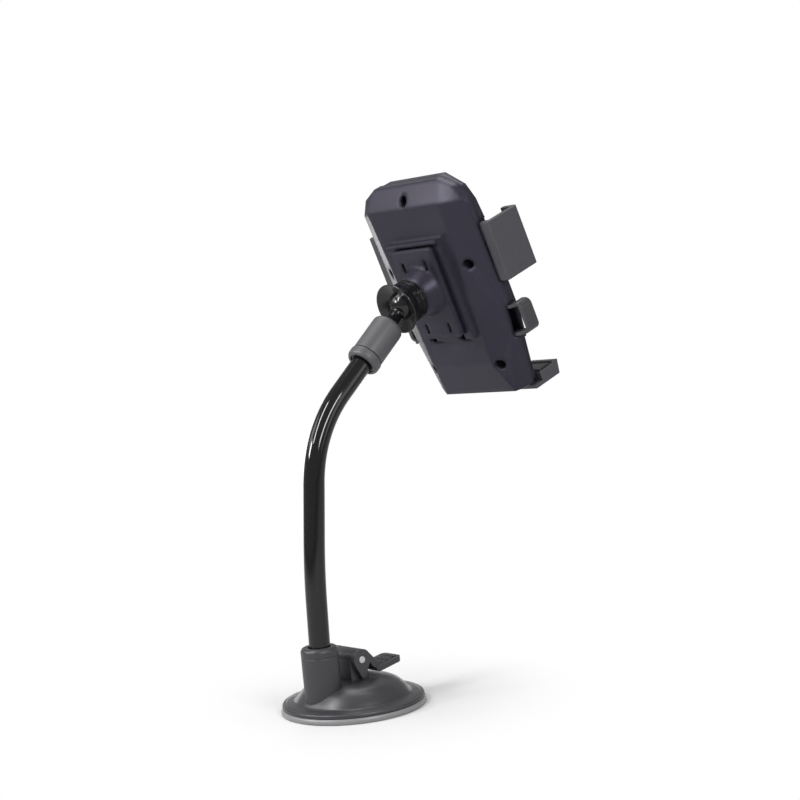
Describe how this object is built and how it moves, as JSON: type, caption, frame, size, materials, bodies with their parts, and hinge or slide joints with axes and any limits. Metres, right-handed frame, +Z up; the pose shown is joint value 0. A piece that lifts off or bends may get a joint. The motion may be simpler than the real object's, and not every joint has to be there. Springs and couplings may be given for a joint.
{
  "type": "phone holder",
  "caption": "Suction-cup phone holder with a flexible neck, a ball joint and a squeeze cradle with jaws and feet.",
  "frame": {"origin": "middle of the suction pad, on the surface that it rests on", "axes": "+Z up; -Y towards the screen side and the lever; +X to the right jaw's side"},
  "size_m": [0.086, 0.1517, 0.2371],
  "materials": {
    "satin_plastic": "satin, fine grain",
    "gloss_plastic": "gloss",
    "gel": "soft gel, slightly glossy",
    "steel": "bright",
    "rubber": "matt",
    "nylon": "smooth"
  },
  "bodies": {
    "base": {"suction_pad": "gel", "cup_shell": "satin_plastic", "neck_core": "steel", "neck_sleeve": "gloss_plastic", "top_collar": "satin_plastic"},
    "block": {"pull_block": "satin_plastic", "lever_pin": "steel"},
    "lever": {"lever": "satin_plastic"},
    "stud": {"ball_stud": "gloss_plastic"},
    "nut": {"lock_nut": "gloss_plastic"},
    "cradle": {"clip_plate": "satin_plastic", "back_cover": "satin_plastic", "front_housing": "satin_plastic", "rest_pad": "rubber", "cover_screws": "steel"},
    "jaw_right": {"jaw_right": "satin_plastic", "jaw_pad_right": "rubber"},
    "jaw_left": {"jaw_left": "satin_plastic", "jaw_pad_left": "rubber"},
    "pinion": {"pinion": "nylon"},
    "button_right": {"button_right": "satin_plastic"},
    "button_left": {"button_left": "satin_plastic"},
    "foot": {"foot_slide": "satin_plastic", "foot_pads": "rubber"}
  },
  "joints": [
    {"name": "pad_lift", "type": "slide", "parent": "base", "child": "block", "axis": [0, 0, 1], "range_m": [-0.0014, 0], "deforming": ["suction_pad"]},
    {"name": "lever_hinge", "type": "hinge", "parent": "block", "child": "lever", "pos_m": [0, 0, 0.0226], "axis": [-1, 0, 0], "range_deg": [0, 80]},
    {"name": "stem_spin", "type": "hinge", "parent": "base", "child": "stud", "pos_m": [0, -0.05366, 0.17825], "axis": [0, -0.7716, 0.6361], "continuous": true},
    {"name": "ball_tilt", "type": "hinge", "parent": "stud", "child": "nut", "pos_m": [0, -0.05366, 0.17825], "axis": [1, 0, 0], "range_deg": [-55, 15]},
    {"name": "cradle_spin", "type": "hinge", "parent": "nut", "child": "cradle", "pos_m": [0, -0.05366, 0.17825], "axis": [0, 0.9472, -0.3206], "continuous": true},
    {"name": "jaw_right_slide", "type": "slide", "parent": "cradle", "child": "jaw_right", "axis": [0.9989, -0.0151, -0.0446], "range_m": [-0.0055, 0.01]},
    {"name": "jaw_left_slide", "type": "slide", "parent": "cradle", "child": "jaw_left", "axis": [-0.9989, 0.0151, 0.0446], "range_m": [-0.0055, 0.01]},
    {"name": "pinion_turn", "type": "hinge", "parent": "cradle", "child": "pinion", "pos_m": [0.00048, -0.07937, 0.19771], "axis": [0, 0.9472, -0.3206], "range_deg": [-56.27, 102.31]},
    {"name": "button_right_press", "type": "slide", "parent": "cradle", "child": "button_right", "axis": [-0.9989, 0.0151, 0.0446], "range_m": [0, 0.0024], "stiffness_N_per_m": 700, "springref_m": -0.0008},
    {"name": "button_left_press", "type": "slide", "parent": "cradle", "child": "button_left", "axis": [0.9989, -0.0151, -0.0446], "range_m": [0, 0.0024], "stiffness_N_per_m": 700, "springref_m": -0.0008},
    {"name": "foot_extend", "type": "slide", "parent": "cradle", "child": "foot", "axis": [-0.0471, -0.3203, -0.9462], "range_m": [0, 0.012]}
  ],
  "couplings": [
    {"joint": "lever_hinge", "follows": "pad_lift", "rad_per_m": -997.33},
    {"joint": "jaw_left_slide", "follows": "jaw_right_slide", "ratio": 1},
    {"joint": "pinion_turn", "follows": "jaw_right_slide", "rad_per_m": 178.57}
  ]
}
